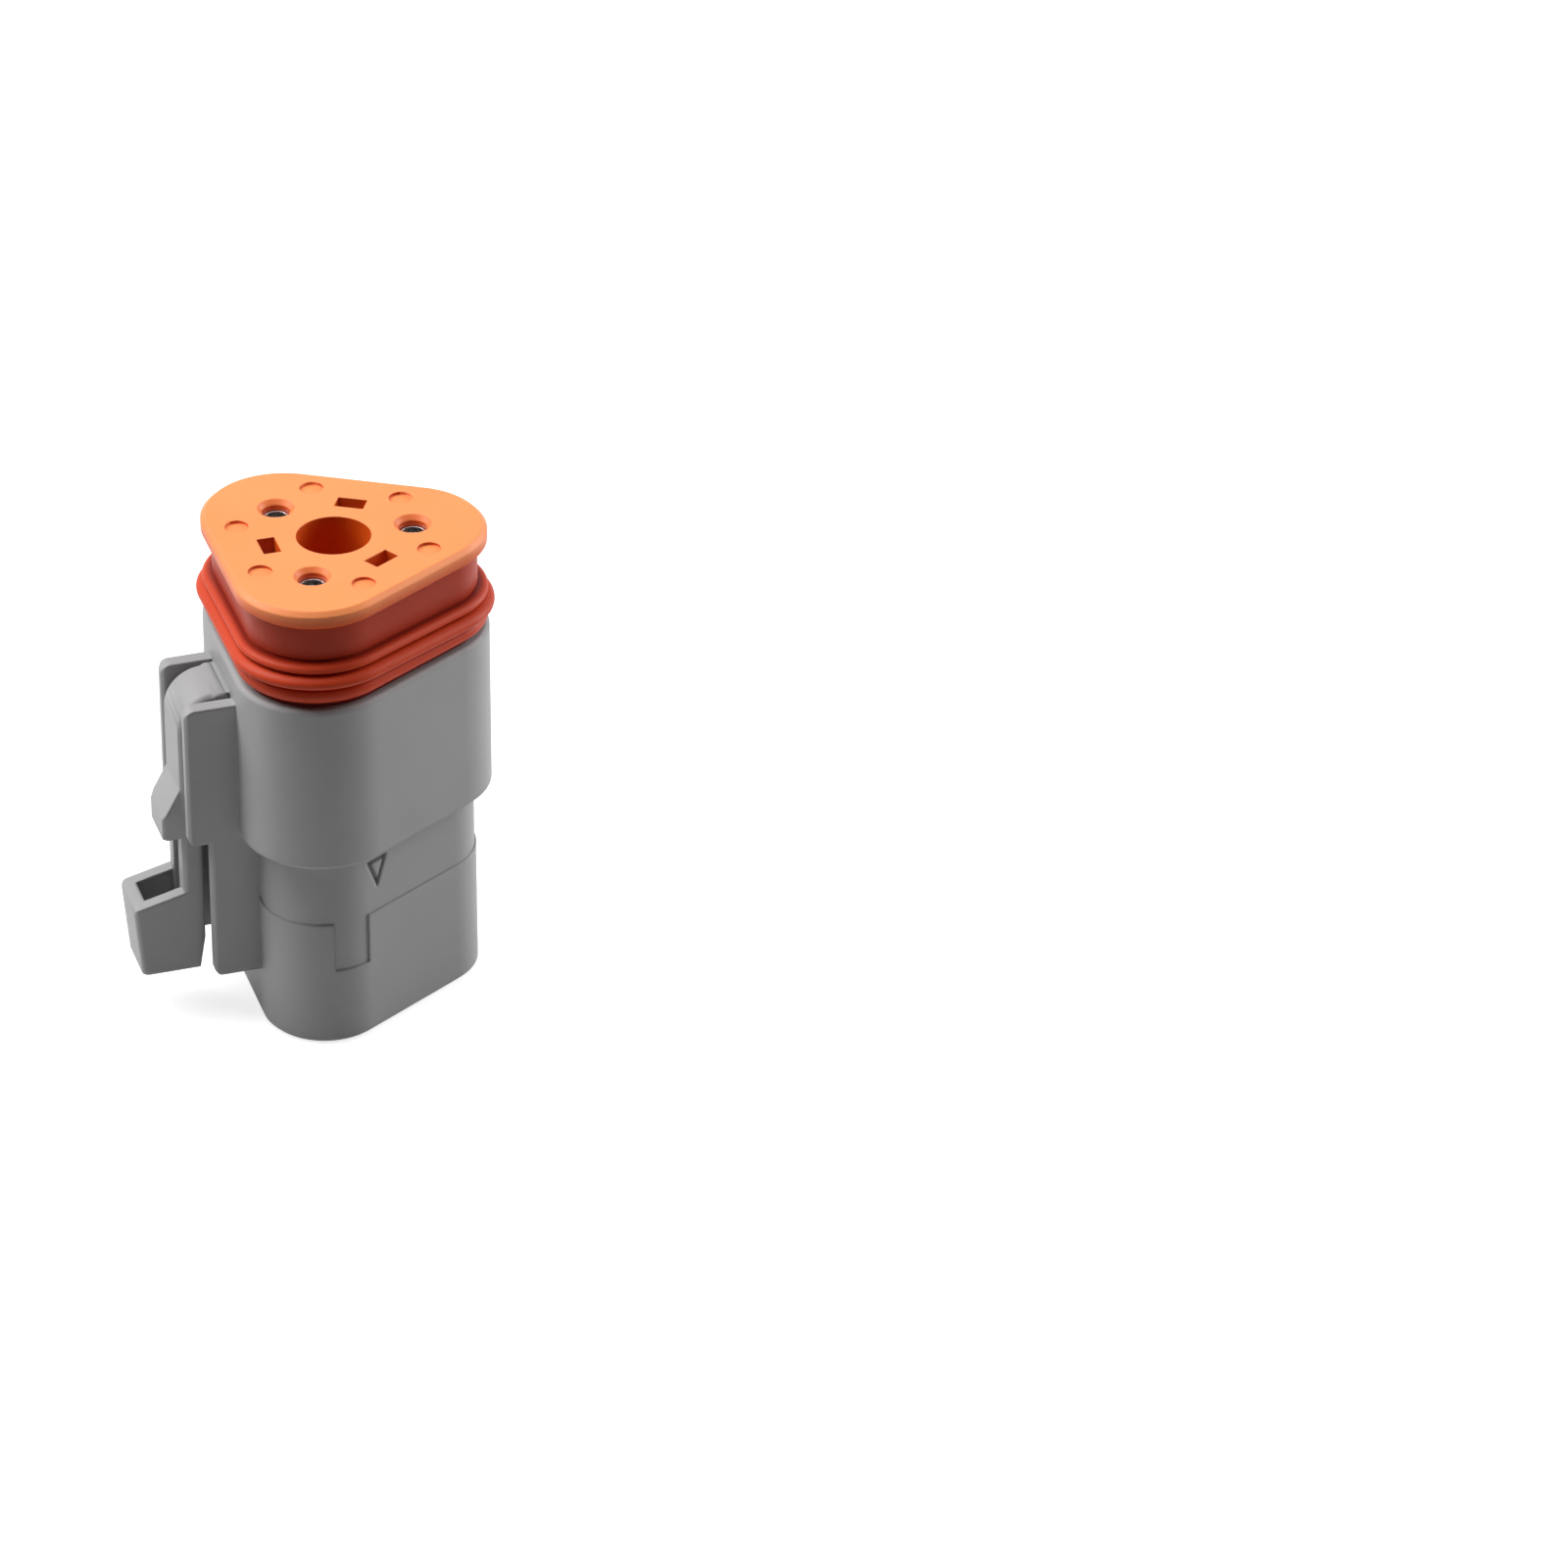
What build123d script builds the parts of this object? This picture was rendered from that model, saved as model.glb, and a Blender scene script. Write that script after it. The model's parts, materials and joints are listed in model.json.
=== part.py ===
from build123d import *
import os
from math import cos, radians, sin

# Three-way sealed plug, standing on its wire end with the mating face up, in millimetres.
# The origin is on the connector's axis, in the plane of the rear rim. The latch is on the -X side.

# Section: every outline is the same triangle of corner centres, rounded by its own radius
CORNER_SPREAD = 6.2         # axis to the centre of each rounded corner
WAYS = 3

# Lengths along the axis, from the rear rim or back from the mating face
OVERALL_LENGTH = 42.9       # rear rim to the mating face of the wedge lock
STEP_Z = 18.2               # rear rim to the underside of the upper body
FRONT_LENGTH = 9.3          # mating face to the shoulder that the seal sits on
NECK_END_GAP = 0.2          # top of the neck to the wedge lock's flange

# Housing
LOWER_CORNER_R = 5.3
UPPER_CORNER_R = 6.85
NECK_CORNER_R = 4.85
REAR_WALL = 1.3
WEDGE_POCKET_DEPTH = 16.6   # below the top of the neck
RIM_EASE = 0.4
EDGE_EASE = 0.3

# Raised panel round the lower body, with its tongue-shaped gap, and the index mark
PANEL_HEIGHT = 11.8
PANEL_RELIEF = 0.14
TONGUE_CORNER = 240.0
TONGUE_TURN = 42.0          # round that corner, away from its own direction
TONGUE_WIDTH = 3.2
TONGUE_DEPTH = 4.6
MARK_ANGLE = 300.0
MARK_OFFSET = -4.2
MARK_Z = 14.0
MARK_WIDTH = 2.4
MARK_HEIGHT = 2.9
MARK_LINE = 0.38
MARK_DEPTH = 0.4

# Contacts and the cavities that hold them
CONTACT_RECESS = 0.9         # behind the mating face
CONTACT_LENGTH = 21.8
BARREL_R = 1.3
WIRE_BORE_R = 0.87
WIRE_BORE_DEPTH = 5.8
COLLAR_R = 1.72
COLLAR_LENGTH = 1.2
COLLAR_FROM_FRONT = 12.5
SOCKET_R = 1.15
PIN_R = 0.7875              # mating pin, 1.575 mm across
PIN_CLEARANCE = 0.03
SOCKET_DEPTH = 8.0
SOCKET_SLOT = 0.3
SOCKET_SLOT_DEPTH = 5.6
SLEEVE_R = 1.45
SLEEVE_WALL = 0.22
SLEEVE_LIP_R = 1.0
SLEEVE_LIP_LENGTH = 0.6
CAVITY_CLEARANCE = 0.15
SEAT_CLEARANCE = 0.05

# Locking fingers
FINGER_WIDTH = 1.5
FINGER_THICKNESS = 0.55
FINGER_SIDE_GAP = 0.35
FINGER_SET_BACK = 0.13       # finger to the edge of the contact's bore
FINGER_HOOK = 0.4
FINGER_HOOK_LENGTH = 1.3
FINGER_WINDOW_ABOVE = 1.9

# Wire seal
WIRE_SEAL_RECESS = 1.2
WIRE_SEAL_LENGTH = 8.6
WIRE_SEAL_GAP = 0.04
WIRE_SEAL_END_GAP = 0.8
WIRE_HOLE_R = 1.75
WIRE_RIB_R = 1.15           # passes the thinnest wire it seals, 2.24 mm across
WIRE_RIB_LENGTH = 0.6

# Interface seal: wall thicknesses, then a lower band and two ridges over it,
# each as height of its middle above the shoulder, wall thickness and half its width
SEAL_FIT_GAP = 0.02
SEAL_NECK_WALL = 1.03
SEAL_ROOT_WALL = 1.4
RIDGES = [(1.15, 2.08, 1.1), (3.1, 2.45, 0.72), (4.4, 1.91, 0.55)]
RIDGE_SLOPE = 0.3

# Wedge lock
FLANGE_CORNER_R = 6.75
FLANGE_THICKNESS = 1.6
FLANGE_TOP_EASE = 0.42
FLANGE_LOW_EASE = 0.3
POST_BORE_R = 3.13
POST_WALL = 0.97
POST_END_GAP = 0.6          # end of the post to the floor of its pocket
POST_CLEARANCE = 0.15
LEAD_IN_R = 1.58
PIN_HOLE_R = 1.2
LEAD_IN_DEPTH = 0.42
SLOT_INSET = 0.69            # post's wall to the slot over each barb
SLOT_LENGTH = 2.5
SLOT_WIDTH = 1.5
BARB_REACH = 0.7
BARB_WIDTH = 2.1
BARB_HEIGHT = 1.6
BARB_DROP = 4.2
KEYWAY_CLEARANCE = 0.25
KEYWAY_RUNOUT = 3.9          # below the barb

# Latch guard fins
FIN_SIDE_GAP = 0.65
FIN_THICKNESS = 1.3
FIN_TOP_DROP = 2.7           # below the shoulder
FIN_STEP_DROP = 0.4          # below the underside of the upper body
FIN_BOTTOM_Z = 4.6
FIN_REACH = 14.35
FIN_STEP = 1.85
FIN_TOP_RADIUS = 0.9
FIN_LOW_RADIUS = 0.7
FIN_EDGE_EASE = 0.3

# Latch lever
LEVER_HALF_WIDTH = 2.65
LEVER_REACH = 14.45
LEVER_THICKNESS = 1.65
LEVER_BOTTOM_Z = 4.5
LEVER_TAPER = 0.5
LEVER_TAPER_LENGTH = 3.0
ARCH_THICKNESS = 1.5
ARCH_TOP_DROP = 2.55         # below the shoulder
ARCH_LAND = 0.5              # straight part between the root and the curve
ROOT_REACH = 0.7             # how far the root boss stands out of the upper body
HINGE_GAP = 0.06
TOOTH_HALF_WIDTH = 2.3
TOOTH_REACH = 1.55
TOOTH_BASE_Z = 17.3
TOOTH_CREST = 1.9
TOOTH_RAMP = 3.2
TOOTH_SIDE_TAPER = 0.35
CHANNEL_HALF_WIDTH = 0.9
CHANNEL_DEPTH = 1.0
PAD_REACH = 18.85
PAD_BOTTOM_SETBACK = 0.55
PAD_HEIGHT = 6.45
PAD_RIM_RISE = 1.1
PAD_WALL = 1.15
PAD_FLOOR = 1.3
PAD_CORNER_RADIUS = 0.6
LEVER_EDGE_EASE = 0.35

# Values that follow from the sizes above
SHOULDER_Z = OVERALL_LENGTH - FRONT_LENGTH
FLAT_FACTOR = cos(radians(180 / WAYS))
UPPER_FLAT = CORNER_SPREAD * FLAT_FACTOR + UPPER_CORNER_R
LOWER_FLAT = CORNER_SPREAD * FLAT_FACTOR + LOWER_CORNER_R
FLANGE_LOW_Z = OVERALL_LENGTH - FLANGE_THICKNESS
NECK_TOP_Z = FLANGE_LOW_Z - NECK_END_GAP
POCKET_FLOOR_Z = NECK_TOP_Z - WEDGE_POCKET_DEPTH
REAR_CAVITY_DEPTH = WIRE_SEAL_RECESS + WIRE_SEAL_LENGTH + WIRE_SEAL_END_GAP
CONTACT_FRONT_Z = OVERALL_LENGTH - CONTACT_RECESS
CONTACT_REAR_Z = CONTACT_FRONT_Z - CONTACT_LENGTH
COLLAR_TOP_Z = CONTACT_FRONT_Z - COLLAR_FROM_FRONT
COLLAR_LOW_Z = COLLAR_TOP_Z - COLLAR_LENGTH
CAVITY_R = COLLAR_R + CAVITY_CLEARANCE
SLEEVE_CAVITY_R = SLEEVE_R + CAVITY_CLEARANCE
POST_R = POST_BORE_R + POST_WALL
POCKET_R = POST_R + POST_CLEARANCE
CONTACT_CIRCLE_R = POCKET_R + FINGER_THICKNESS + FINGER_SET_BACK + CAVITY_R
POST_LOW_Z = POCKET_FLOOR_Z + POST_END_GAP
BARB_TOP_Z = FLANGE_LOW_Z - BARB_DROP
FIN_GAP_HALF = LEVER_HALF_WIDTH + FIN_SIDE_GAP
FIN_TOP_Z = SHOULDER_Z - FIN_TOP_DROP
FIN_STEP_Z = STEP_Z - FIN_STEP_DROP
ARCH_TOP_Z = SHOULDER_Z - ARCH_TOP_DROP
TOOTH_TIP_Z = TOOTH_BASE_Z + TOOTH_CREST
PAD_RIM_Z = LEVER_BOTTOM_Z + PAD_HEIGHT
HINGE_X = -(UPPER_FLAT + ROOT_REACH)
HINGE_R = ARCH_THICKNESS / 2
HINGE_Z = ARCH_TOP_Z - HINGE_R
ARCH_RADIUS = LEVER_REACH + HINGE_X - ARCH_LAND
LEVER_INNER_X = -(LEVER_REACH - LEVER_THICKNESS)
WAY_ANGLES = [360 / WAYS * index for index in range(WAYS)]
SIDE_ANGLES = [angle + 180 / WAYS for angle in WAY_ANGLES]


def outline(corner_radius):
    """Rounded triangle with its corners at the three contact directions."""
    corners = RegularPolygon(CORNER_SPREAD, WAYS, rotation=0)
    return offset(corners, corner_radius, kind=Kind.ARC)


def prism(corner_radius, low, high):
    """Straight-sided solid on the rounded triangle, from one height to another."""
    return extrude(Pos(0, 0, low) * outline(corner_radius), high - low)


def rod(radius, low, high):
    """Upright cylinder on the axis, from one height to another."""
    return extrude(Pos(0, 0, low) * Circle(radius), high - low)


def eased(shape, level, size):
    """Break the edges at a solid's lowest (0) or highest (-1) level with a small bevel."""
    return chamfer(shape.edges().group_by(Axis.Z)[level], size)


def block(x_low, x_high, y_low, y_high, z_low, z_high):
    """Box from its lowest corner to its highest corner."""
    size = (x_high - x_low, y_high - y_low, z_high - z_low)
    centre = ((x_low + x_high) / 2, (y_low + y_high) / 2, (z_low + z_high) / 2)
    return Pos(*centre) * Box(*size)


def at_way(angle, shape):
    """Move a shape made on the axis to the contact position at this angle."""
    return Rot(0, 0, angle) * Pos(CONTACT_CIRCLE_R, 0, 0) * shape


def side_profile(points):
    """Closed outline in the XZ plane, mid-way across the latch."""
    return Plane.XZ * make_face(Polyline(points, close=True))


def across(face, half_width):
    """Extrude an XZ outline evenly to both sides of the latch's centre plane."""
    return extrude(face, half_width, both=True)


def revolve_profile(points):
    """Turn a radius-and-height outline about the axis."""
    return revolve(Plane.XZ * make_face(Polyline(points, close=True)), Axis.Z)


def lower_body():
    """Wire-end tube: plain wall, raised panel with a tongue-shaped gap, index mark."""
    body = prism(LOWER_CORNER_R, RIM_EASE, STEP_Z + EDGE_EASE)
    panel = prism(LOWER_CORNER_R + PANEL_RELIEF, 0, PANEL_HEIGHT)
    panel = eased(panel, 0, RIM_EASE)
    return body + (panel - tongue()) - index_mark()


def tongue():
    """Block that leaves the tongue-shaped gap in the panel, on the front corner's round."""
    reach = LOWER_CORNER_R + 2 * PANEL_RELIEF
    half = TONGUE_WIDTH / 2
    low = PANEL_HEIGHT - TONGUE_DEPTH
    gap = block(LOWER_CORNER_R, reach, -half, half, low, PANEL_HEIGHT)
    gap += block(LOWER_CORNER_R / 2, LOWER_CORNER_R, -half, half, low, PANEL_HEIGHT)
    return Rot(0, 0, TONGUE_CORNER) * Pos(CORNER_SPREAD, 0, 0) * Rot(0, 0, TONGUE_TURN) * gap


def index_mark():
    """Downward-pointing triangle cut as an outline in the wall beside the front corner."""
    plane = Plane(origin=(LOWER_FLAT - MARK_DEPTH, 0, 0), x_dir=(0, 1, 0), z_dir=(1, 0, 0))
    half = MARK_WIDTH / 2
    points = [(-half, MARK_HEIGHT), (half, MARK_HEIGHT), (0, 0)]
    outer = make_face(Polyline(points, close=True))
    line = outer - offset(outer, -MARK_LINE, kind=Kind.INTERSECTION)
    cut = extrude(plane * Pos(MARK_OFFSET, MARK_Z) * line, 2 * MARK_DEPTH)
    return Rot(0, 0, MARK_ANGLE) * cut


def upper_body():
    """Wide part of the housing, with its shoulder and its step eased."""
    body = prism(UPPER_CORNER_R, STEP_Z, SHOULDER_Z)
    return eased(eased(body, -1, EDGE_EASE), 0, EDGE_EASE)


def neck():
    """Core that stands up inside the interface seal."""
    return prism(NECK_CORNER_R, SHOULDER_Z - EDGE_EASE, NECK_TOP_Z)


def guard_fin():
    """One of the two fins either side of the latch, stepped back below."""
    root = LOWER_FLAT - REAR_WALL / 2
    points = [
        (-root, FIN_BOTTOM_Z),
        (FIN_STEP - FIN_REACH, FIN_BOTTOM_Z),
        (FIN_STEP - FIN_REACH, FIN_STEP_Z),
        (-FIN_REACH, FIN_STEP_Z),
        (-FIN_REACH, FIN_TOP_Z),
        (-root, FIN_TOP_Z),
    ]
    face = side_profile(points)
    low_radius = min(FIN_LOW_RADIUS, FIN_STEP / 2)
    for corner, radius in ((1, low_radius), (3, low_radius), (4, FIN_TOP_RADIUS)):
        face = fillet(nearest_vertex(face, points[corner]), radius)
    fin = Pos(0, FIN_GAP_HALF + FIN_THICKNESS, 0) * extrude(face, FIN_THICKNESS)
    upper = fin_bar(FIN_REACH, FIN_STEP_Z, FIN_TOP_Z)
    lower = fin_bar(FIN_REACH - FIN_STEP, FIN_BOTTOM_Z, FIN_STEP_Z)
    return fin & (upper + lower)


def fin_bar(reach, low, high):
    """Straight length of a fin with both its outer edges eased."""
    bar = block(-reach, 0, FIN_GAP_HALF, FIN_GAP_HALF + FIN_THICKNESS, low, high)
    return chamfer(bar.edges().filter_by(Axis.Z).group_by(Axis.X)[0], FIN_EDGE_EASE)


def side_edges(shape):
    """Edges of an extruded XZ outline that bound its two flat sides."""
    return [edge for edge in shape.edges() if abs(edge.position_at(0).Y - edge.position_at(1).Y) < 1e-6]


def nearest_vertex(shape, point):
    """Corner of an XZ outline that lies nearest to an (x, z) point."""
    target = Vector(point[0], 0, point[1])
    return min(shape.vertices(), key=lambda vertex: (Vector(vertex) - target).length)


def hinge_boss():
    """Boss on the upper body, and the hollow seat in it that the lever's arch turns in."""
    half = LEVER_HALF_WIDTH
    boss = block(HINGE_X, ROOT_REACH - UPPER_FLAT, -half, half, HINGE_Z - HINGE_R, ARCH_TOP_Z)
    seat = Pos(HINGE_X, 0, HINGE_Z) * Rot(90, 0, 0) * Cylinder(HINGE_R + HINGE_GAP, 2 * FIN_GAP_HALF)
    return boss, seat


def contact_cavity():
    """Stepped bore for one contact, open at both ends."""
    rear = rod(CAVITY_R, REAR_CAVITY_DEPTH - EDGE_EASE, COLLAR_TOP_Z + SEAT_CLEARANCE)
    return rear + rod(SLEEVE_CAVITY_R, COLLAR_TOP_Z, NECK_TOP_Z + EDGE_EASE)


def finger_window():
    """Opening between the wedge pocket and a contact bore, round the locking finger."""
    half = FINGER_WIDTH / 2 + FINGER_SIDE_GAP
    return block(POST_R, CONTACT_CIRCLE_R, -half, half, POCKET_FLOOR_Z, COLLAR_TOP_Z + FINGER_WINDOW_ABOVE)


def locking_finger():
    """Springy finger that catches behind the contact's collar, backed by the wedge's post."""
    inner = POCKET_R
    outer = inner + FINGER_THICKNESS
    top = COLLAR_LOW_Z - SEAT_CLEARANCE
    hook_x = CONTACT_CIRCLE_R - CAVITY_R + FINGER_HOOK
    points = [
        (inner, POCKET_FLOOR_Z - EDGE_EASE),
        (outer, POCKET_FLOOR_Z - EDGE_EASE),
        (outer, top - FINGER_HOOK_LENGTH),
        (hook_x, top - FINGER_HOOK_LENGTH / 4),
        (hook_x, top),
        (inner, top),
    ]
    return extrude(side_profile(points), FINGER_WIDTH / 2, both=True)


def keyway():
    """Slot beside the wedge pocket in which one barb of the wedge lock runs."""
    reach = POST_R + BARB_REACH + KEYWAY_CLEARANCE
    half = BARB_WIDTH / 2 + KEYWAY_CLEARANCE
    low = BARB_TOP_Z - BARB_HEIGHT - KEYWAY_RUNOUT
    return block(POST_R / 2, reach, -half, half, low, NECK_TOP_Z + EDGE_EASE)


def housing():
    """One-piece moulding with its cavities, guard fins, hinge boss and locking fingers."""
    body = lower_body() + upper_body() + neck()
    fin = guard_fin()
    body = body + fin + mirror(fin, Plane.XZ)
    boss, seat = hinge_boss()
    body = body + boss - seat
    body -= prism(LOWER_CORNER_R - REAR_WALL, 0, REAR_CAVITY_DEPTH)
    for angle in WAY_ANGLES:
        body -= at_way(angle, contact_cavity())
    body -= rod(POCKET_R, POCKET_FLOOR_Z, NECK_TOP_Z)
    for angle in WAY_ANGLES:
        body -= Rot(0, 0, angle) * finger_window()
        body += Rot(0, 0, angle) * locking_finger()
    for angle in SIDE_ANGLES:
        body -= Rot(0, 0, angle) * keyway()
    return body


def lever_stem():
    """Arch and straight arm of the latch, turned over at the top with a large radius."""
    arch_low = ARCH_TOP_Z - ARCH_THICKNESS
    points = [
        (HINGE_X, arch_low),
        (LEVER_INNER_X, arch_low),
        (LEVER_INNER_X, LEVER_BOTTOM_Z + LEVER_TAPER_LENGTH),
        (LEVER_INNER_X - LEVER_TAPER, LEVER_BOTTOM_Z),
        (-LEVER_REACH, LEVER_BOTTOM_Z),
        (-LEVER_REACH, ARCH_TOP_Z),
        (HINGE_X, ARCH_TOP_Z),
    ]
    face = side_profile(points)
    face = fillet(nearest_vertex(face, points[5]), ARCH_RADIUS)
    face = fillet(nearest_vertex(face, points[1]), ARCH_RADIUS - ARCH_THICKNESS)
    stem = across(face, LEVER_HALF_WIDTH)
    outer = [side for side in stem.faces() if side.normal_at().Z - side.normal_at().X > 0.5]
    rim = [edge for side in outer for edge in side_edges(side)]
    stem = chamfer(rim, LEVER_EDGE_EASE)
    knuckle = Pos(HINGE_X, 0, HINGE_Z) * Rot(90, 0, 0) * Cylinder(HINGE_R, 2 * LEVER_HALF_WIDTH)
    return stem + knuckle


def latch_tooth():
    """Ramped catch on the outside of the lever, its locking face turned to the wire end."""
    face = -LEVER_REACH + LEVER_THICKNESS / 4
    tip = -LEVER_REACH - TOOTH_REACH
    apex_z = TOOTH_TIP_Z + TOOTH_RAMP + TOOTH_REACH / 4
    points = [(face, apex_z), (tip, TOOTH_TIP_Z), (tip, TOOTH_BASE_Z), (face, TOOTH_BASE_Z)]
    tooth = across(side_profile(points), TOOTH_HALF_WIDTH)
    tips = [edge for edge in tooth.edges() if abs(abs(edge.center().Y) - TOOTH_HALF_WIDTH) < 1e-6]
    vertical = [edge for edge in tips if edge.center().X < tip + 1e-6]
    return chamfer(vertical, TOOTH_SIDE_TAPER)


def thumb_pad():
    """Hollow box at the wire end of the lever, open towards the mating end."""
    inner = -LEVER_REACH
    rim = PAD_RIM_Z
    rim_back = PAD_RIM_Z + PAD_RIM_RISE
    points = [
        (inner + LEVER_THICKNESS / 2, LEVER_BOTTOM_Z),
        (-PAD_REACH + PAD_BOTTOM_SETBACK, LEVER_BOTTOM_Z),
        (-PAD_REACH, rim),
        (inner, rim_back),
        (inner + LEVER_THICKNESS / 2, rim_back),
    ]
    pad = across(side_profile(points), LEVER_HALF_WIDTH)
    outer_edges = pad.edges().group_by(Axis.X)[0:2]
    outer_edges = [edge for group in outer_edges for edge in group]
    return fillet(outer_edges, PAD_CORNER_RADIUS)


def pad_pocket():
    """Space inside the thumb pad, running up into the channel below the tooth."""
    half = LEVER_HALF_WIDTH - PAD_WALL
    floor = LEVER_BOTTOM_Z + PAD_FLOOR
    top = PAD_RIM_Z + 2 * PAD_RIM_RISE
    back = -LEVER_REACH + CHANNEL_DEPTH
    pocket = block(-PAD_REACH + PAD_WALL, -LEVER_REACH, -half, half, floor, top)
    low = PAD_RIM_Z - PAD_RIM_RISE
    front = -LEVER_REACH - TOOTH_REACH / 4
    channel = block(front, back, -CHANNEL_HALF_WIDTH, CHANNEL_HALF_WIDTH, low, TOOTH_BASE_Z)
    return pocket + channel


def latch_lever():
    """Side lever with its arch, catch tooth, channel and hollow thumb pad."""
    lever = lever_stem() + thumb_pad() + latch_tooth()
    return lever - pad_pocket()


def seal_section():
    """Section of the seal wall, as thickness against height over the shoulder."""
    top = FLANGE_LOW_Z - SEAT_CLEARANCE - SHOULDER_Z
    points = [(0, 0), (SEAL_ROOT_WALL, 0)]
    for middle, wall, half in RIDGES:
        crest = half - RIDGE_SLOPE
        points += [(wall, middle - crest), (wall, middle + crest), (SEAL_ROOT_WALL, middle + half)]
    crevice = RIDGES[-1][0] + RIDGES[-1][2]
    points[-1] = (SEAL_NECK_WALL, crevice)
    return points + [(SEAL_NECK_WALL, top), (0, top)]


def interface_seal():
    """Ribbed silicone sleeve: one section carried round the neck's outline."""
    section = Plane.XZ * make_face(Polyline(seal_section(), close=True))
    inner = CORNER_SPREAD * FLAT_FACTOR + NECK_CORNER_R + SEAL_FIT_GAP
    section = Rot(0, 0, 180 / WAYS) * Pos(inner, 0, SHOULDER_Z) * section
    return sweep(section, path=outline(NECK_CORNER_R).wire())


def wire_hole():
    """Hole for one wire, with a narrow sealing rib at each end."""
    low = WIRE_SEAL_RECESS
    high = low + WIRE_SEAL_LENGTH
    points = [
        (0, low),
        (WIRE_RIB_R, low),
        (WIRE_RIB_R, low + WIRE_RIB_LENGTH),
        (WIRE_HOLE_R, low + WIRE_RIB_LENGTH),
        (WIRE_HOLE_R, high - WIRE_RIB_LENGTH),
        (WIRE_RIB_R, high - WIRE_RIB_LENGTH),
        (WIRE_RIB_R, high),
        (0, high),
    ]
    return revolve_profile(points)


def wire_seal():
    """Silicone grommet that fills the rear cavity."""
    radius = LOWER_CORNER_R - REAR_WALL - WIRE_SEAL_GAP
    seal = prism(radius, WIRE_SEAL_RECESS, WIRE_SEAL_RECESS + WIRE_SEAL_LENGTH)
    seal = eased(seal, 0, EDGE_EASE)
    for angle in WAY_ANGLES:
        seal -= at_way(angle, wire_hole())
    return seal


def socket_contact():
    """Turned contact on the axis: crimp barrel, collar and split socket."""
    front = CONTACT_FRONT_Z - SLEEVE_LIP_LENGTH - SEAT_CLEARANCE
    points = [
        (0, CONTACT_REAR_Z),
        (BARREL_R, CONTACT_REAR_Z),
        (BARREL_R, COLLAR_LOW_Z),
        (COLLAR_R, COLLAR_LOW_Z),
        (COLLAR_R, COLLAR_TOP_Z),
        (SOCKET_R, COLLAR_TOP_Z),
        (SOCKET_R, front),
        (0, front),
    ]
    contact = revolve_profile(points)
    contact -= rod(WIRE_BORE_R, CONTACT_REAR_Z, CONTACT_REAR_Z + WIRE_BORE_DEPTH)
    contact -= rod(PIN_R + PIN_CLEARANCE, front - SOCKET_DEPTH, front)
    half = SOCKET_SLOT / 2
    slot = block(-2 * SOCKET_R, 2 * SOCKET_R, -half, half, front - SOCKET_SLOT_DEPTH, front)
    return contact - slot


def contact_sleeve():
    """Thin steel sleeve over the split socket, turned in at its mouth."""
    low = COLLAR_TOP_Z + SEAT_CLEARANCE
    inner = SLEEVE_R - SLEEVE_WALL
    lip_z = CONTACT_FRONT_Z - SLEEVE_LIP_LENGTH
    points = [
        (inner, low),
        (SLEEVE_R, low),
        (SLEEVE_R, CONTACT_FRONT_Z),
        (SLEEVE_LIP_R, CONTACT_FRONT_Z),
        (SLEEVE_LIP_R, lip_z),
        (inner, lip_z),
    ]
    return revolve_profile(points)


def contact_hole():
    """Lead-in cone, pin hole and, from below, the seat for the sleeve's mouth."""
    cone_low = OVERALL_LENGTH - LEAD_IN_DEPTH
    points = [
        (0, OVERALL_LENGTH),
        (LEAD_IN_R, OVERALL_LENGTH),
        (PIN_HOLE_R, cone_low),
        (PIN_HOLE_R, CONTACT_FRONT_Z + SEAT_CLEARANCE),
        (SLEEVE_CAVITY_R, CONTACT_FRONT_Z + SEAT_CLEARANCE),
        (SLEEVE_CAVITY_R, FLANGE_LOW_Z),
        (0, FLANGE_LOW_Z),
    ]
    return revolve_profile(points)


def barb():
    """Catch on the side of the wedge's post, under one of the flange slots."""
    top = BARB_TOP_Z
    reach = POST_R + BARB_REACH
    root = POST_R - POST_WALL / 2
    low = top - BARB_HEIGHT
    points = [(root, low), (POST_R, low), (reach, top - BARB_HEIGHT / 3), (reach, top), (root, top)]
    return extrude(side_profile(points), BARB_WIDTH / 2, both=True)


def wedge_lock():
    """Flange over the seal with a hollow post that backs the locking fingers."""
    wedge = prism(FLANGE_CORNER_R, FLANGE_LOW_Z, OVERALL_LENGTH)
    wedge = eased(wedge, -1, FLANGE_TOP_EASE)
    wedge = eased(wedge, 0, FLANGE_LOW_EASE)
    wedge += rod(POST_R, POST_LOW_Z, FLANGE_LOW_Z + FLANGE_LOW_EASE)
    for angle in SIDE_ANGLES:
        wedge += Rot(0, 0, angle) * barb()
    wedge -= rod(POST_BORE_R, POST_LOW_Z, OVERALL_LENGTH)
    for angle in WAY_ANGLES:
        wedge -= at_way(angle, contact_hole())
    half = SLOT_LENGTH / 2
    inner = POST_R + SLOT_INSET
    slot = block(inner, inner + SLOT_WIDTH, -half, half, FLANGE_LOW_Z, OVERALL_LENGTH)
    for angle in SIDE_ANGLES:
        wedge -= Rot(0, 0, angle) * slot
    return wedge


def build_parts():
    """Every piece by its node name."""
    parts = {
        "housing": housing(),
        "latch_lever": latch_lever(),
        "interface_seal": interface_seal(),
        "wire_seal": wire_seal(),
        "wedge_lock": wedge_lock(),
    }
    for number, angle in enumerate(WAY_ANGLES, start=1):
        parts[f"socket_contact_{number}"] = at_way(angle, socket_contact())
        parts[f"contact_sleeve_{number}"] = at_way(angle, contact_sleeve())
    return parts


os.makedirs("parts", exist_ok=True)
for node, shape in build_parts().items():
    export_step(shape, f"parts/{node}.step")
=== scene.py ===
import json
import math

import bmesh
import bpy
from mathutils import Matrix, Vector


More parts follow.
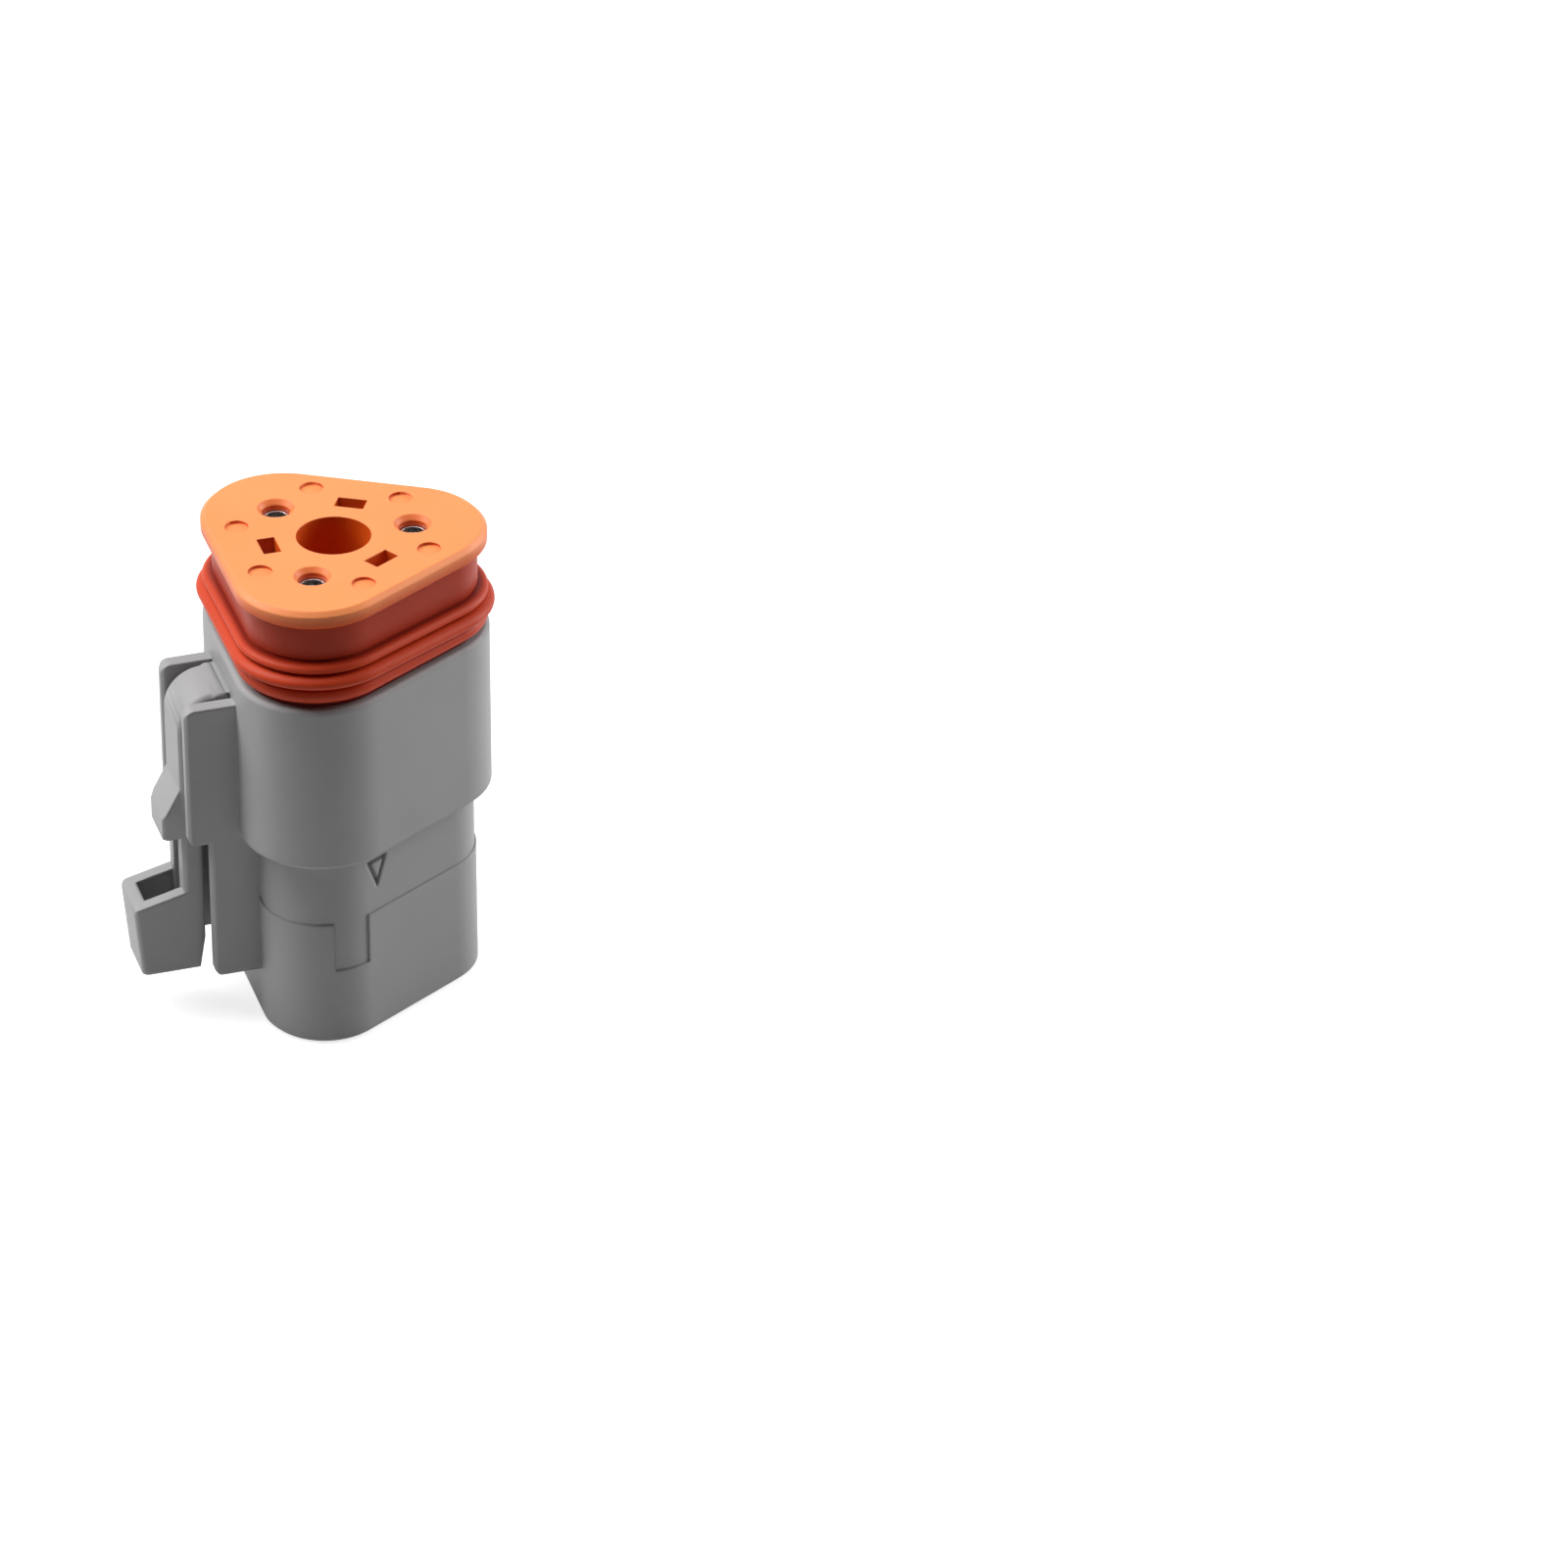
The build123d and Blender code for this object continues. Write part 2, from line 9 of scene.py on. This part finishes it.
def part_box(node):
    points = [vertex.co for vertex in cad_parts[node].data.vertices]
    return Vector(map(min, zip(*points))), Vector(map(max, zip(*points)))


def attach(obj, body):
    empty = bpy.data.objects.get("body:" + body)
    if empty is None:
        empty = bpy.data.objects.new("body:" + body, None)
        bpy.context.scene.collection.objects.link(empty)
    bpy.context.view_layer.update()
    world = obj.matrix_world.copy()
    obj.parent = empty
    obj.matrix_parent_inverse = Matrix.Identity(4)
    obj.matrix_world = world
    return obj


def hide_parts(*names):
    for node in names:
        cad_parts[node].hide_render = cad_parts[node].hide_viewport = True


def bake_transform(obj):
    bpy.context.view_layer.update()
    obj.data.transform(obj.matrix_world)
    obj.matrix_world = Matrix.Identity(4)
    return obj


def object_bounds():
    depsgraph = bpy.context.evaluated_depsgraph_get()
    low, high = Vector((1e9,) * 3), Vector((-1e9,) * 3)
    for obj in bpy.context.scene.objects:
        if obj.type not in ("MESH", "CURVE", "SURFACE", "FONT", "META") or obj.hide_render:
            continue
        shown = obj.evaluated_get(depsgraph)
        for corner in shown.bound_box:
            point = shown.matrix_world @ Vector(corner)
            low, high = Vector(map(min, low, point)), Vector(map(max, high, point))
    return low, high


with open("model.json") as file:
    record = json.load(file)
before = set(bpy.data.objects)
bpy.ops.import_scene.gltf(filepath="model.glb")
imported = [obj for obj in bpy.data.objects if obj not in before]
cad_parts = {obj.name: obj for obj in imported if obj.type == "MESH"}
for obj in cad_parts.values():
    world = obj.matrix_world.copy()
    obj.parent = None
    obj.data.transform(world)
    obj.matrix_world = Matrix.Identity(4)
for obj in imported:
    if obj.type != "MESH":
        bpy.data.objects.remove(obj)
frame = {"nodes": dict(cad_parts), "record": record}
cad_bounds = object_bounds()

# The photograph's camera, fitted to the plug's own edges
AIM = Vector((0.0, 0.0, 0.021))
DISTANCE = 0.625
AZIMUTH = math.radians(255.6)
ELEVATION = math.radians(31.7)
ROLL = math.radians(-1.53)
SENSOR = 36.0
LENS = 170.2
SHIFT = (0.2834, -0.0149)
CLIP_START = 0.01
CLIP_END = 50.0

# Softboxes as (name, azimuth and elevation in degrees, size, watts), all at one distance
SOFTBOX_DISTANCE = 0.45
SOFTBOXES = [
    ("top_softbox", 150, 80, (0.40, 0.40), 0.76),
    ("left_softbox", 150, 50, (0.25, 0.40), 2.28),
    ("right_softbox", 5, 20, (0.25, 0.40), 1.80),
]

# Surroundings: the world shows white and lights nothing, and the floor's glow rises to white away
# from the plug
WORLD_LIGHT = 0.0
WHITE = 1.0
FLOOR_GREY = 0.5
FLOOR_GLOW = 0.78
GLOW_RISES_FROM = 0.1
GLOW_WHITE_FROM = 0.5
FLOOR_HALF = 3.0
FLOOR_GAP = 0.00002

# Texture of every moulding: slow drift of colour, specks of gloss, fine grain and soft edges
DRIFT_SCALE = 90.0
DRIFT_DETAIL = 4.0
DRIFT_SPAN = (0.3, 0.7)
SPECK_SCALE = 700.0
SPECK_DETAIL = 3.0
GRAIN_DETAIL = 2.0
GRAIN_HEIGHT = 0.00005
EDGE_SAMPLES = 6

# Painted shade on the wedge, a deeper orange: heights where it is full and gone, and how far out the
# holes' walls lie
WEDGE_PAINTED_SHADE = (0.68, 0.095, 0.006)
WEDGE_SHADE_FULL_HEIGHT = 0.0416
WEDGE_SHADE_GONE_HEIGHT = 0.0428
WEDGE_HOLES_REACH = 0.009
LEVEL_NORMAL = 0.9                # a face whose normal rises this much takes none of the painted shade on the walls
WALL_NORMAL = 0.3                 # and one at or under this takes all of it

# Painted shade of the seal, a deeper red in its grooves, and how much of it the neck has under the flange
SEAL_PAINTED_SHADE = (0.17, 0.006, 0.002)
NECK_SHADE_SHARE = 0.42

# Clean-up of the CAD meshes, and the angles from which an edge stays sharp
MERGE_DISTANCE = 1e-7
LEVER_FLATNESS = math.radians(2.0)
WEDGE_FLATNESS = math.radians(0.5)
MOULDING_SHARP = math.radians(30.0)
SEAL_SHARP = math.radians(50.0)

# Level cuts through the lever
FIRST_CUT = 0.0005
CUT_SPACING = 0.0006

# Seal's plan: three corner arcs, each with its distance from the axis and its radius inside
CORNERS = 3
CORNER_TURN = 360 / CORNERS
CORNER_SPREAD = 0.0062
SEAL_INSIDE = 0.00487
ARC_STEPS = 28

# Seal's walls at the foot and the neck, and its ridges as (height over the foot, wall, half width)
SEAL_ROOT = 0.00108
SEAL_NECK = 0.00103
SEAL_RIDGES = [(0.00125, 0.00190, 0.00072), (0.00266, 0.00244, 0.00068), (0.00381, 0.00191, 0.00047)]
RIDGE_STEPS = 16
RIDGE_FULLNESS = 0.9              # a power under 1 makes a ridge fuller than a sine
RIDGES_TOP = SEAL_RIDGES[-1][0] + SEAL_RIDGES[-1][2]
GROOVE_WALL = 0.0017              # a thinner wall than this counts as in a groove and takes painted shade

# Crevice under the neck as (short of the neck's wall, above the ridges), and the neck's rounded rim
NECK_CREVICE = [(0.00022, 0.00005), (0.00006, 0.00016), (0.0, 0.0003)]
RIM_RADIUS = 0.0002
RIM_STEPS = 4

# The seal sits askew: its ridges lie lower away from the front corner
SEAL_SETTLE = 0.00045
FRONT_CORNER = math.radians(240)
FRONT_REACH = 0.0135              # from the axis, where nothing has settled yet
SETTLE_SPAN = 0.0175              # from there to where the ridges lie lowest
SETTLE_FULL_HEIGHT = 0.0025       # the foot stays, and above this the seal settles in full
SETTLE_END_HEIGHT = 0.0072        # the neck stays from this height up
SETTLE_FADE = 0.0027

# Ejector marks in the wedge's flange: directions of the flats, place beside each, radius and depth
FLAT_SIDES = (60, 180, 300)
EJECTOR_MARK = (0.00731, 0.00385)
EJECTOR_RADIUS = 0.0010
EJECTOR_DEPTH = 0.00025
EJECTOR_SEGMENTS = 48
LEVEL_FACE = 0.9999               # faces this level are shaded flat


def direction(azimuth, elevation):
    """Unit vector from the plug at angles in radians."""
    return Vector((
        math.cos(elevation) * math.cos(azimuth),
        math.cos(elevation) * math.sin(azimuth),
        math.sin(elevation),
    ))


def add_object(name, data):
    """A new object in the scene."""
    thing = bpy.data.objects.new(name, data)
    bpy.context.collection.objects.link(thing)
    return thing


def place_camera():
    """Camera at the photograph's viewing angle, with the plug at the left as it is there."""
    back = direction(AZIMUTH, ELEVATION)
    level = Vector((-math.sin(AZIMUTH), math.cos(AZIMUTH), 0.0))
    upright = back.cross(level)
    right = math.cos(ROLL) * level + math.sin(ROLL) * upright
    up = -math.sin(ROLL) * level + math.cos(ROLL) * upright
    data = bpy.data.cameras.new("photo_camera")
    data.sensor_width = SENSOR
    data.lens = LENS
    data.shift_x, data.shift_y = SHIFT
    data.clip_start = CLIP_START
    data.clip_end = CLIP_END
    camera = add_object("photo_camera", data)
    pose = Matrix((right, up, back)).transposed().to_4x4()
    pose.translation = AIM + DISTANCE * back
    camera.matrix_world = pose
    bpy.context.scene.camera = camera


def softbox(name, azimuth, elevation, size, watts):
    """Area light at an angle round the plug, aimed at its middle."""
    toward = direction(math.radians(azimuth), math.radians(elevation))
    data = bpy.data.lights.new(name, "AREA")
    data.shape = "RECTANGLE"
    data.size, data.size_y = size
    data.energy = watts
    lamp = add_object(name, data)
    lamp.location = AIM + SOFTBOX_DISTANCE * toward
    lamp.rotation_euler = toward.to_track_quat("Z", "Y").to_euler()


def combine(tree, operation, first, second):
    """Two factors through one Math node."""
    node = tree.nodes.new("ShaderNodeMath")
    node.operation = operation
    tree.links.new(first, node.inputs[0])
    tree.links.new(second, node.inputs[1])
    return node.outputs[0]


def seen_directly(tree):
    """Factor that is 1 for what the lens, a gloss or a clear piece sees, and 0 for the light itself."""
    path = tree.nodes.new("ShaderNodeLightPath")
    lens_or_gloss = combine(tree, "MAXIMUM", path.outputs["Is Camera Ray"], path.outputs["Is Glossy Ray"])
    return combine(tree, "MAXIMUM", lens_or_gloss, path.outputs["Is Transmission Ray"])


def background(tree, strength):
    """White background shader."""
    shader = tree.nodes.new("ShaderNodeBackground")
    shader.inputs["Strength"].default_value = strength
    shader.inputs["Color"].default_value = (1.0, 1.0, 1.0, 1.0)
    return shader.outputs[0]


def light_scene():
    """Plain studio: soft top light, one softbox each side, white surroundings."""
    for name, azimuth, elevation, size, watts in SOFTBOXES:
        softbox(name, azimuth, elevation, size, watts)
    world = bpy.data.worlds.new("studio")
    world.use_nodes = True
    tree = world.node_tree
    tree.nodes.clear()
    out = tree.nodes.new("ShaderNodeOutputWorld")
    mix = tree.nodes.new("ShaderNodeMixShader")
    tree.links.new(seen_directly(tree), mix.inputs[0])
    tree.links.new(background(tree, WORLD_LIGHT), mix.inputs[1])
    tree.links.new(background(tree, WHITE), mix.inputs[2])
    tree.links.new(mix.outputs[0], out.inputs["Surface"])
    bpy.context.scene.world = world
    bpy.context.scene.view_settings.view_transform = "Standard"


def floor_glow(tree):
    """The floor's own light for the lens and reflections, brighter away from the plug."""
    place = tree.nodes.new("ShaderNodeTexCoord")
    away = tree.nodes.new("ShaderNodeVectorMath")
    away.operation = "LENGTH"
    rise = tree.nodes.new("ShaderNodeMapRange")
    rise.inputs["From Min"].default_value = GLOW_RISES_FROM
    rise.inputs["From Max"].default_value = GLOW_WHITE_FROM
    rise.inputs["To Min"].default_value = FLOOR_GLOW
    rise.inputs["To Max"].default_value = WHITE
    tree.links.new(place.outputs["Object"], away.inputs[0])
    tree.links.new(away.outputs["Value"], rise.inputs["Value"])
    return combine(tree, "MULTIPLY", seen_directly(tree), rise.outputs["Result"])


def pale_floor():
    """Diffuse grey that keeps the shadow, with a glow that makes it near white."""
    material = bpy.data.materials.new("pale_floor")
    material.use_nodes = True
    tree = material.node_tree
    tree.nodes.clear()
    out = tree.nodes.new("ShaderNodeOutputMaterial")
    diffuse = tree.nodes.new("ShaderNodeBsdfDiffuse")
    glow = tree.nodes.new("ShaderNodeEmission")
    add = tree.nodes.new("ShaderNodeAddShader")
    diffuse.inputs["Color"].default_value = (FLOOR_GREY, FLOOR_GREY, FLOOR_GREY, 1.0)
    tree.links.new(floor_glow(tree), glow.inputs["Strength"])
    tree.links.new(diffuse.outputs[0], add.inputs[0])
    tree.links.new(glow.outputs[0], add.inputs[1])
    tree.links.new(add.outputs[0], out.inputs["Surface"])
    return material


def studio_floor():
    """Pale floor that stays near white to the camera and keeps the plug's shadow."""
    mesh = bpy.data.meshes.new("studio_floor")
    corners = [(x * FLOOR_HALF, y * FLOOR_HALF, 0.0) for x, y in ((-1, -1), (1, -1), (1, 1), (-1, 1))]
    mesh.from_pydata(corners, [], [(0, 1, 2, 3)])
    mesh.materials.append(pale_floor())
    floor = add_object("studio_floor", mesh)
    floor.location.z = cad_bounds[0][2] - FLOOR_GAP


def noise(tree, place, scale, detail):
    """Noise over the piece's own coordinates."""
    texture = tree.nodes.new("ShaderNodeTexNoise")
    texture.inputs["Scale"].default_value = scale
    texture.inputs["Detail"].default_value = detail
    tree.links.new(place.outputs["Object"], texture.inputs["Vector"])
    return texture.outputs["Fac"]


def moulded(name, colour, tint, roughness, grain, bump, edge, **sockets):
    """Moulded surface: faint colour drift, uneven gloss, fine spark-eroded grain and soft edges."""
    material = bpy.data.materials.new(name)
    material.use_nodes = True
    tree = material.node_tree
    shader = tree.nodes["Principled BSDF"]
    for socket, value in sockets.items():
        shader.inputs[socket.replace("_", " ")].default_value = value
    place = tree.nodes.new("ShaderNodeTexCoord")

    ramp = tree.nodes.new("ShaderNodeValToRGB")
    for stop, position, tone in zip(ramp.color_ramp.elements, DRIFT_SPAN, (colour, tint)):
        stop.position = position
        stop.color = (*tone, 1.0)
    tree.links.new(noise(tree, place, DRIFT_SCALE, DRIFT_DETAIL), ramp.inputs["Fac"])
    tree.links.new(ramp.outputs["Color"], shader.inputs["Base Color"])

    gloss = tree.nodes.new("ShaderNodeMapRange")
    gloss.inputs["To Min"].default_value = roughness[0]
    gloss.inputs["To Max"].default_value = roughness[1]
    tree.links.new(noise(tree, place, SPECK_SCALE, SPECK_DETAIL), gloss.inputs["Value"])
    tree.links.new(gloss.outputs["Result"], shader.inputs["Roughness"])

    relief = tree.nodes.new("ShaderNodeBump")
    relief.inputs["Strength"].default_value = bump
    relief.inputs["Distance"].default_value = GRAIN_HEIGHT
    soft = tree.nodes.new("ShaderNodeBevel")
    soft.samples = EDGE_SAMPLES
    soft.inputs["Radius"].default_value = edge
    tree.links.new(noise(tree, place, grain, GRAIN_DETAIL), relief.inputs["Height"])
    tree.links.new(soft.outputs["Normal"], relief.inputs["Normal"])
    tree.links.new(relief.outputs["Normal"], shader.inputs["Normal"])
    return material


def blend_painted_shade(material, colour, factor):
    """Painted shade over the finish's own colour, by a factor from the same tree."""
    tree = material.node_tree
    shader = tree.nodes["Principled BSDF"]
    plain = shader.inputs["Base Color"].links[0].from_socket
    blend = tree.nodes.new("ShaderNodeMix")
    blend.data_type = "RGBA"
    blend.inputs["B"].default_value = (*colour, 1.0)
    tree.links.new(factor, blend.inputs["Factor"])
    tree.links.new(plain, blend.inputs["A"])
    tree.links.new(blend.outputs["Result"], shader.inputs["Base Color"])


def shade_below_top(tree, place):
    """Factor for the painted shade, that grows from 0 at the wedge's top face to 1 under it."""
    parts = tree.nodes.new("ShaderNodeSeparateXYZ")
    fade = tree.nodes.new("ShaderNodeMapRange")
    fade.interpolation_type = "SMOOTHSTEP"
    fade.inputs["From Min"].default_value = WEDGE_SHADE_GONE_HEIGHT
    fade.inputs["From Max"].default_value = WEDGE_SHADE_FULL_HEIGHT
    tree.links.new(place.outputs["Object"], parts.inputs[0])
    tree.links.new(parts.outputs["Z"], fade.inputs["Value"])
    return fade.outputs["Result"]


def shade_on_hole_walls(tree, place):
    """Factor for the painted shade, that is 1 on upright faces near the axis, which are the walls of the
    wedge's holes.
    """
    flat = tree.nodes.new("ShaderNodeVectorMath")
    flat.operation = "MULTIPLY"
    flat.inputs[1].default_value = (1.0, 1.0, 0.0)
    reach = tree.nodes.new("ShaderNodeVectorMath")
    reach.operation = "LENGTH"
    near = tree.nodes.new("ShaderNodeMath")
    near.operation = "LESS_THAN"
    near.inputs[1].default_value = WEDGE_HOLES_REACH
    tree.links.new(place.outputs["Object"], flat.inputs[0])
    tree.links.new(flat.outputs[0], reach.inputs[0])
    tree.links.new(reach.outputs["Value"], near.inputs[0])

    facing = tree.nodes.new("ShaderNodeSeparateXYZ")
    upright = tree.nodes.new("ShaderNodeMapRange")
    upright.inputs["From Min"].default_value = LEVEL_NORMAL
    upright.inputs["From Max"].default_value = WALL_NORMAL
    tree.links.new(place.outputs["Normal"], facing.inputs[0])
    tree.links.new(facing.outputs["Z"], upright.inputs["Value"])
    return combine(tree, "MULTIPLY", near.outputs[0], upright.outputs["Result"])


def grey_moulding():
    """Matt grey nylon of the housing and its latch."""
    return moulded(
        "grey_moulding", colour=(0.335, 0.335, 0.34), tint=(0.37, 0.37, 0.375), roughness=(0.46, 0.56),
        grain=6000.0, bump=0.25, edge=0.00042, Specular_IOR_Level=0.35)


def orange_moulding():
    """Orange of the wedge, with painted shade under its top face and on the walls of its holes."""
    material = moulded(
        "orange_moulding", colour=(0.92, 0.275, 0.085), tint=(0.96, 0.305, 0.10), roughness=(0.40, 0.48),
        grain=5000.0, bump=0.12, edge=0.00020, Specular_IOR_Level=0.35)
    tree = material.node_tree
    place = tree.nodes.new("ShaderNodeTexCoord")
    # Painted shade on the wedge's sides under its top face and on the walls of its holes
    wedge_shade = combine(tree, "MAXIMUM", shade_on_hole_walls(tree, place), shade_below_top(tree, place))
    blend_painted_shade(material, WEDGE_PAINTED_SHADE, wedge_shade)
    return material


def red_silicone():
    """Soft red of the seals, with painted shade in the grooves and on the neck, where the mesh's own
    groove values say so.
    """
    material = moulded(
        "red_silicone", colour=(0.53, 0.044, 0.009), tint=(0.59, 0.054, 0.012), roughness=(0.42, 0.52),
        grain=2600.0, bump=0.15, edge=0.00010, Specular_IOR_Level=0.20)
    # Painted shade from the mesh's groove values, in the grooves and on the neck
    groove = material.node_tree.nodes.new("ShaderNodeAttribute")
    groove.attribute_name = "groove"
    blend_painted_shade(material, SEAL_PAINTED_SHADE, groove.outputs["Fac"])
    return material


def nickel_plate():
    """Plating of the contacts."""
    return moulded(
        "nickel_plate", colour=(0.66, 0.64, 0.60), tint=(0.72, 0.70, 0.66), roughness=(0.22, 0.32),
        grain=3000.0, bump=0.10, edge=0.00005, Metallic=1.0)


def bright_steel():
    """Thin steel of the contacts' sleeves."""
    return moulded(
        "bright_steel", colour=(0.70, 0.70, 0.71), tint=(0.76, 0.76, 0.77), roughness=(0.18, 0.28),
        grain=3000.0, bump=0.10, edge=0.00005, Metallic=1.0)


def make_materials():
    """One finish for each of the record's material slots."""
    return {
        "housing_plastic": grey_moulding(),
        "wedge_plastic": orange_moulding(),
        "seal_silicone": red_silicone(),
        "contact_metal": nickel_plate(),
        "sleeve_steel": bright_steel(),
    }


def dress_nodes(materials):
    """Give each CAD node the finish of its material slot."""
    for part in frame["record"]["subparts"]:
        node = frame["nodes"][part["node"]]
        for slot in node.material_slots:
            slot.material = materials[part["material_slot"]]
        if not node.material_slots:
            node.data.materials.append(materials[part["material_slot"]])


def clean_form(node, flatness):
    """A copy of a CAD node's mesh, with the facets of each flat face joined."""
    form = bmesh.new()
    form.from_mesh(frame["nodes"][node].data)
    bmesh.ops.remove_doubles(form, verts=form.verts, dist=MERGE_DISTANCE)
    bmesh.ops.dissolve_limit(form, angle_limit=flatness, verts=form.verts, edges=form.edges)
    return form


def to_mesh(form, name):
    """The built form as a mesh."""
    mesh = bpy.data.meshes.new(name)
    form.to_mesh(mesh)
    form.free()
    return mesh


def flexing_lever(material):
    """The latch as a skin cut in level slices, in place of its CAD node; the real one bends out of the
    housing instead of turning on a pin.
    """
    form = clean_form("latch_lever", LEVER_FLATNESS)
    low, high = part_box("latch_lever")
    level = low[2] + FIRST_CUT
    while level < high[2]:
        everything = form.verts[:] + form.edges[:] + form.faces[:]
        bmesh.ops.bisect_plane(form, geom=everything, plane_co=(0.0, 0.0, level), plane_no=(0.0, 0.0, 1.0))
        level += CUT_SPACING
    mesh = to_mesh(form, "latch_lever_skin")
    mesh.shade_smooth()
    mesh.set_sharp_from_angle(angle=MOULDING_SHARP)
    mesh.materials.append(material)
    lever = add_object("latch_lever_skin", mesh)
    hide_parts("latch_lever")
    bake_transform(lever)


def seal_wall():
    """The seal's foot, and its closed section as (wall, height over the foot)."""
    low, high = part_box("interface_seal")
    length = high[2] - low[2]
    wall = [(SEAL_ROOT, 0.0)]
    for middle, crest, half in SEAL_RIDGES:
        for step in range(RIDGE_STEPS + 1):
            turn = math.pi * step / RIDGE_STEPS
            swell = max(math.sin(turn), 0.0) ** RIDGE_FULLNESS
            wall.append((SEAL_ROOT + (crest - SEAL_ROOT) * swell, middle - half * math.cos(turn)))
    wall += [(SEAL_NECK - short, RIDGES_TOP + above) for short, above in NECK_CREVICE]
    for step in range(RIM_STEPS + 1):
        turn = math.radians(90.0 * step / RIM_STEPS)
        inset = RIM_RADIUS * (1 - math.cos(turn))
        drop = RIM_RADIUS * (1 - math.sin(turn))
        wall.append((SEAL_NECK - inset, length - drop))
    return low[2], wall + [(0.0, length), (0.0, 0.0)]


def settled(x, y, height):
    """Height of a point of the seal: its ridges lie lower away from the front corner."""
    away = FRONT_REACH - (x * math.cos(FRONT_CORNER) + y * math.sin(FRONT_CORNER))
    share = min(max(away / SETTLE_SPAN, 0.0), 1.0)
    rise = min(height / SETTLE_FULL_HEIGHT, 1.0)
    run_out = min(max((SETTLE_END_HEIGHT - height) / SETTLE_FADE, 0.0), 1.0)
    return height - SEAL_SETTLE * share * rise * run_out


def groove_shade(thickness, height):
    """Painted shade at a point of the seal: how far it is in a groove, from 0 on a crest to 1 at the
    bottom, and a fixed share on the neck.
    """
    if height > RIDGES_TOP:
        return NECK_SHADE_SHARE
    return min(max((GROOVE_WALL - thickness) / (GROOVE_WALL - SEAL_ROOT), 0.0), 1.0)


def moulded_seal(material):
    """Silicone sleeve as one closed skin round the rounded-triangular neck."""
    foot, wall = seal_wall()
    rays = []
    for corner in range(CORNERS):
        middle = CORNER_TURN * corner
        for step in range(ARC_STEPS + 1):
            ray = middle - CORNER_TURN / 2 + CORNER_TURN * step / ARC_STEPS
            rays.append((math.radians(middle), math.radians(ray)))
    form = bmesh.new()
    # Each point carries its share of the painted shade, for the seal's material
    tone = form.verts.layers.float.new("groove")
    rows = []
    for thickness, height in wall:
        reach = SEAL_INSIDE + thickness
        row = []
        for corner, ray in rays:
            x = CORNER_SPREAD * math.cos(corner) + reach * math.cos(ray)
            y = CORNER_SPREAD * math.sin(corner) + reach * math.sin(ray)
            point = form.verts.new((x, y, foot + settled(x, y, height)))
            point[tone] = groove_shade(thickness, height)
            row.append(point)
        rows.append(row)
    for row, above in zip(rows, rows[1:] + rows[:1]):
        for index in range(len(rays)):
            after = (index + 1) % len(rays)
            form.faces.new((row[index], row[after], above[after], above[index]))
    bmesh.ops.recalc_face_normals(form, faces=form.faces)
    mesh = to_mesh(form, "interface_seal_skin")
    mesh.shade_smooth()
    mesh.set_sharp_from_angle(angle=SEAL_SHARP)
    mesh.materials.append(material)
    seal = add_object("interface_seal_skin", mesh)
    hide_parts("interface_seal")
    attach(seal, "plug")


def ejector_discs():
    """Discs that sink into the wedge's top face, two beside each flat."""
    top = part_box("wedge_lock")[1][2]
    form = bmesh.new()
    for side in FLAT_SIDES:
        turned = Matrix.Rotation(math.radians(side), 4, "Z")
        for across in (-EJECTOR_MARK[1], EJECTOR_MARK[1]):
            place = turned @ Matrix.Translation((EJECTOR_MARK[0], across, top))
            bmesh.ops.create_cone(
                form, cap_ends=True, segments=EJECTOR_SEGMENTS, radius1=EJECTOR_RADIUS,
                radius2=EJECTOR_RADIUS, depth=2 * EJECTOR_DEPTH, matrix=place)
    return add_object("ejector_discs", to_mesh(form, "ejector_discs"))


def marked_wedge(material):
    """The wedge with the six shallow ejector marks in its flange."""
    wedge = add_object("wedge_lock_skin", to_mesh(clean_form("wedge_lock", WEDGE_FLATNESS), "wedge_plain"))
    cutter = ejector_discs()
    cut = wedge.modifiers.new("marks", "BOOLEAN")
    cut.operation = "DIFFERENCE"
    cut.solver = "EXACT"
    cut.object = cutter
    bpy.context.view_layer.update()
    graph = bpy.context.evaluated_depsgraph_get()
    mesh = bpy.data.meshes.new_from_object(wedge.evaluated_get(graph))
    wedge.modifiers.clear()
    wedge.data = mesh
    bpy.data.objects.remove(cutter)
    mesh.shade_smooth()
    mesh.set_sharp_from_angle(angle=MOULDING_SHARP)
    for face in mesh.polygons:
        face.use_smooth = abs(face.normal.z) < LEVEL_FACE
    mesh.materials.clear()
    mesh.materials.append(material)
    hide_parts("wedge_lock")
    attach(wedge, "wedge")


place_camera()
light_scene()
studio_floor()
finishes = make_materials()
dress_nodes(finishes)
flexing_lever(finishes["housing_plastic"])
moulded_seal(finishes["seal_silicone"])
marked_wedge(finishes["wedge_plastic"])
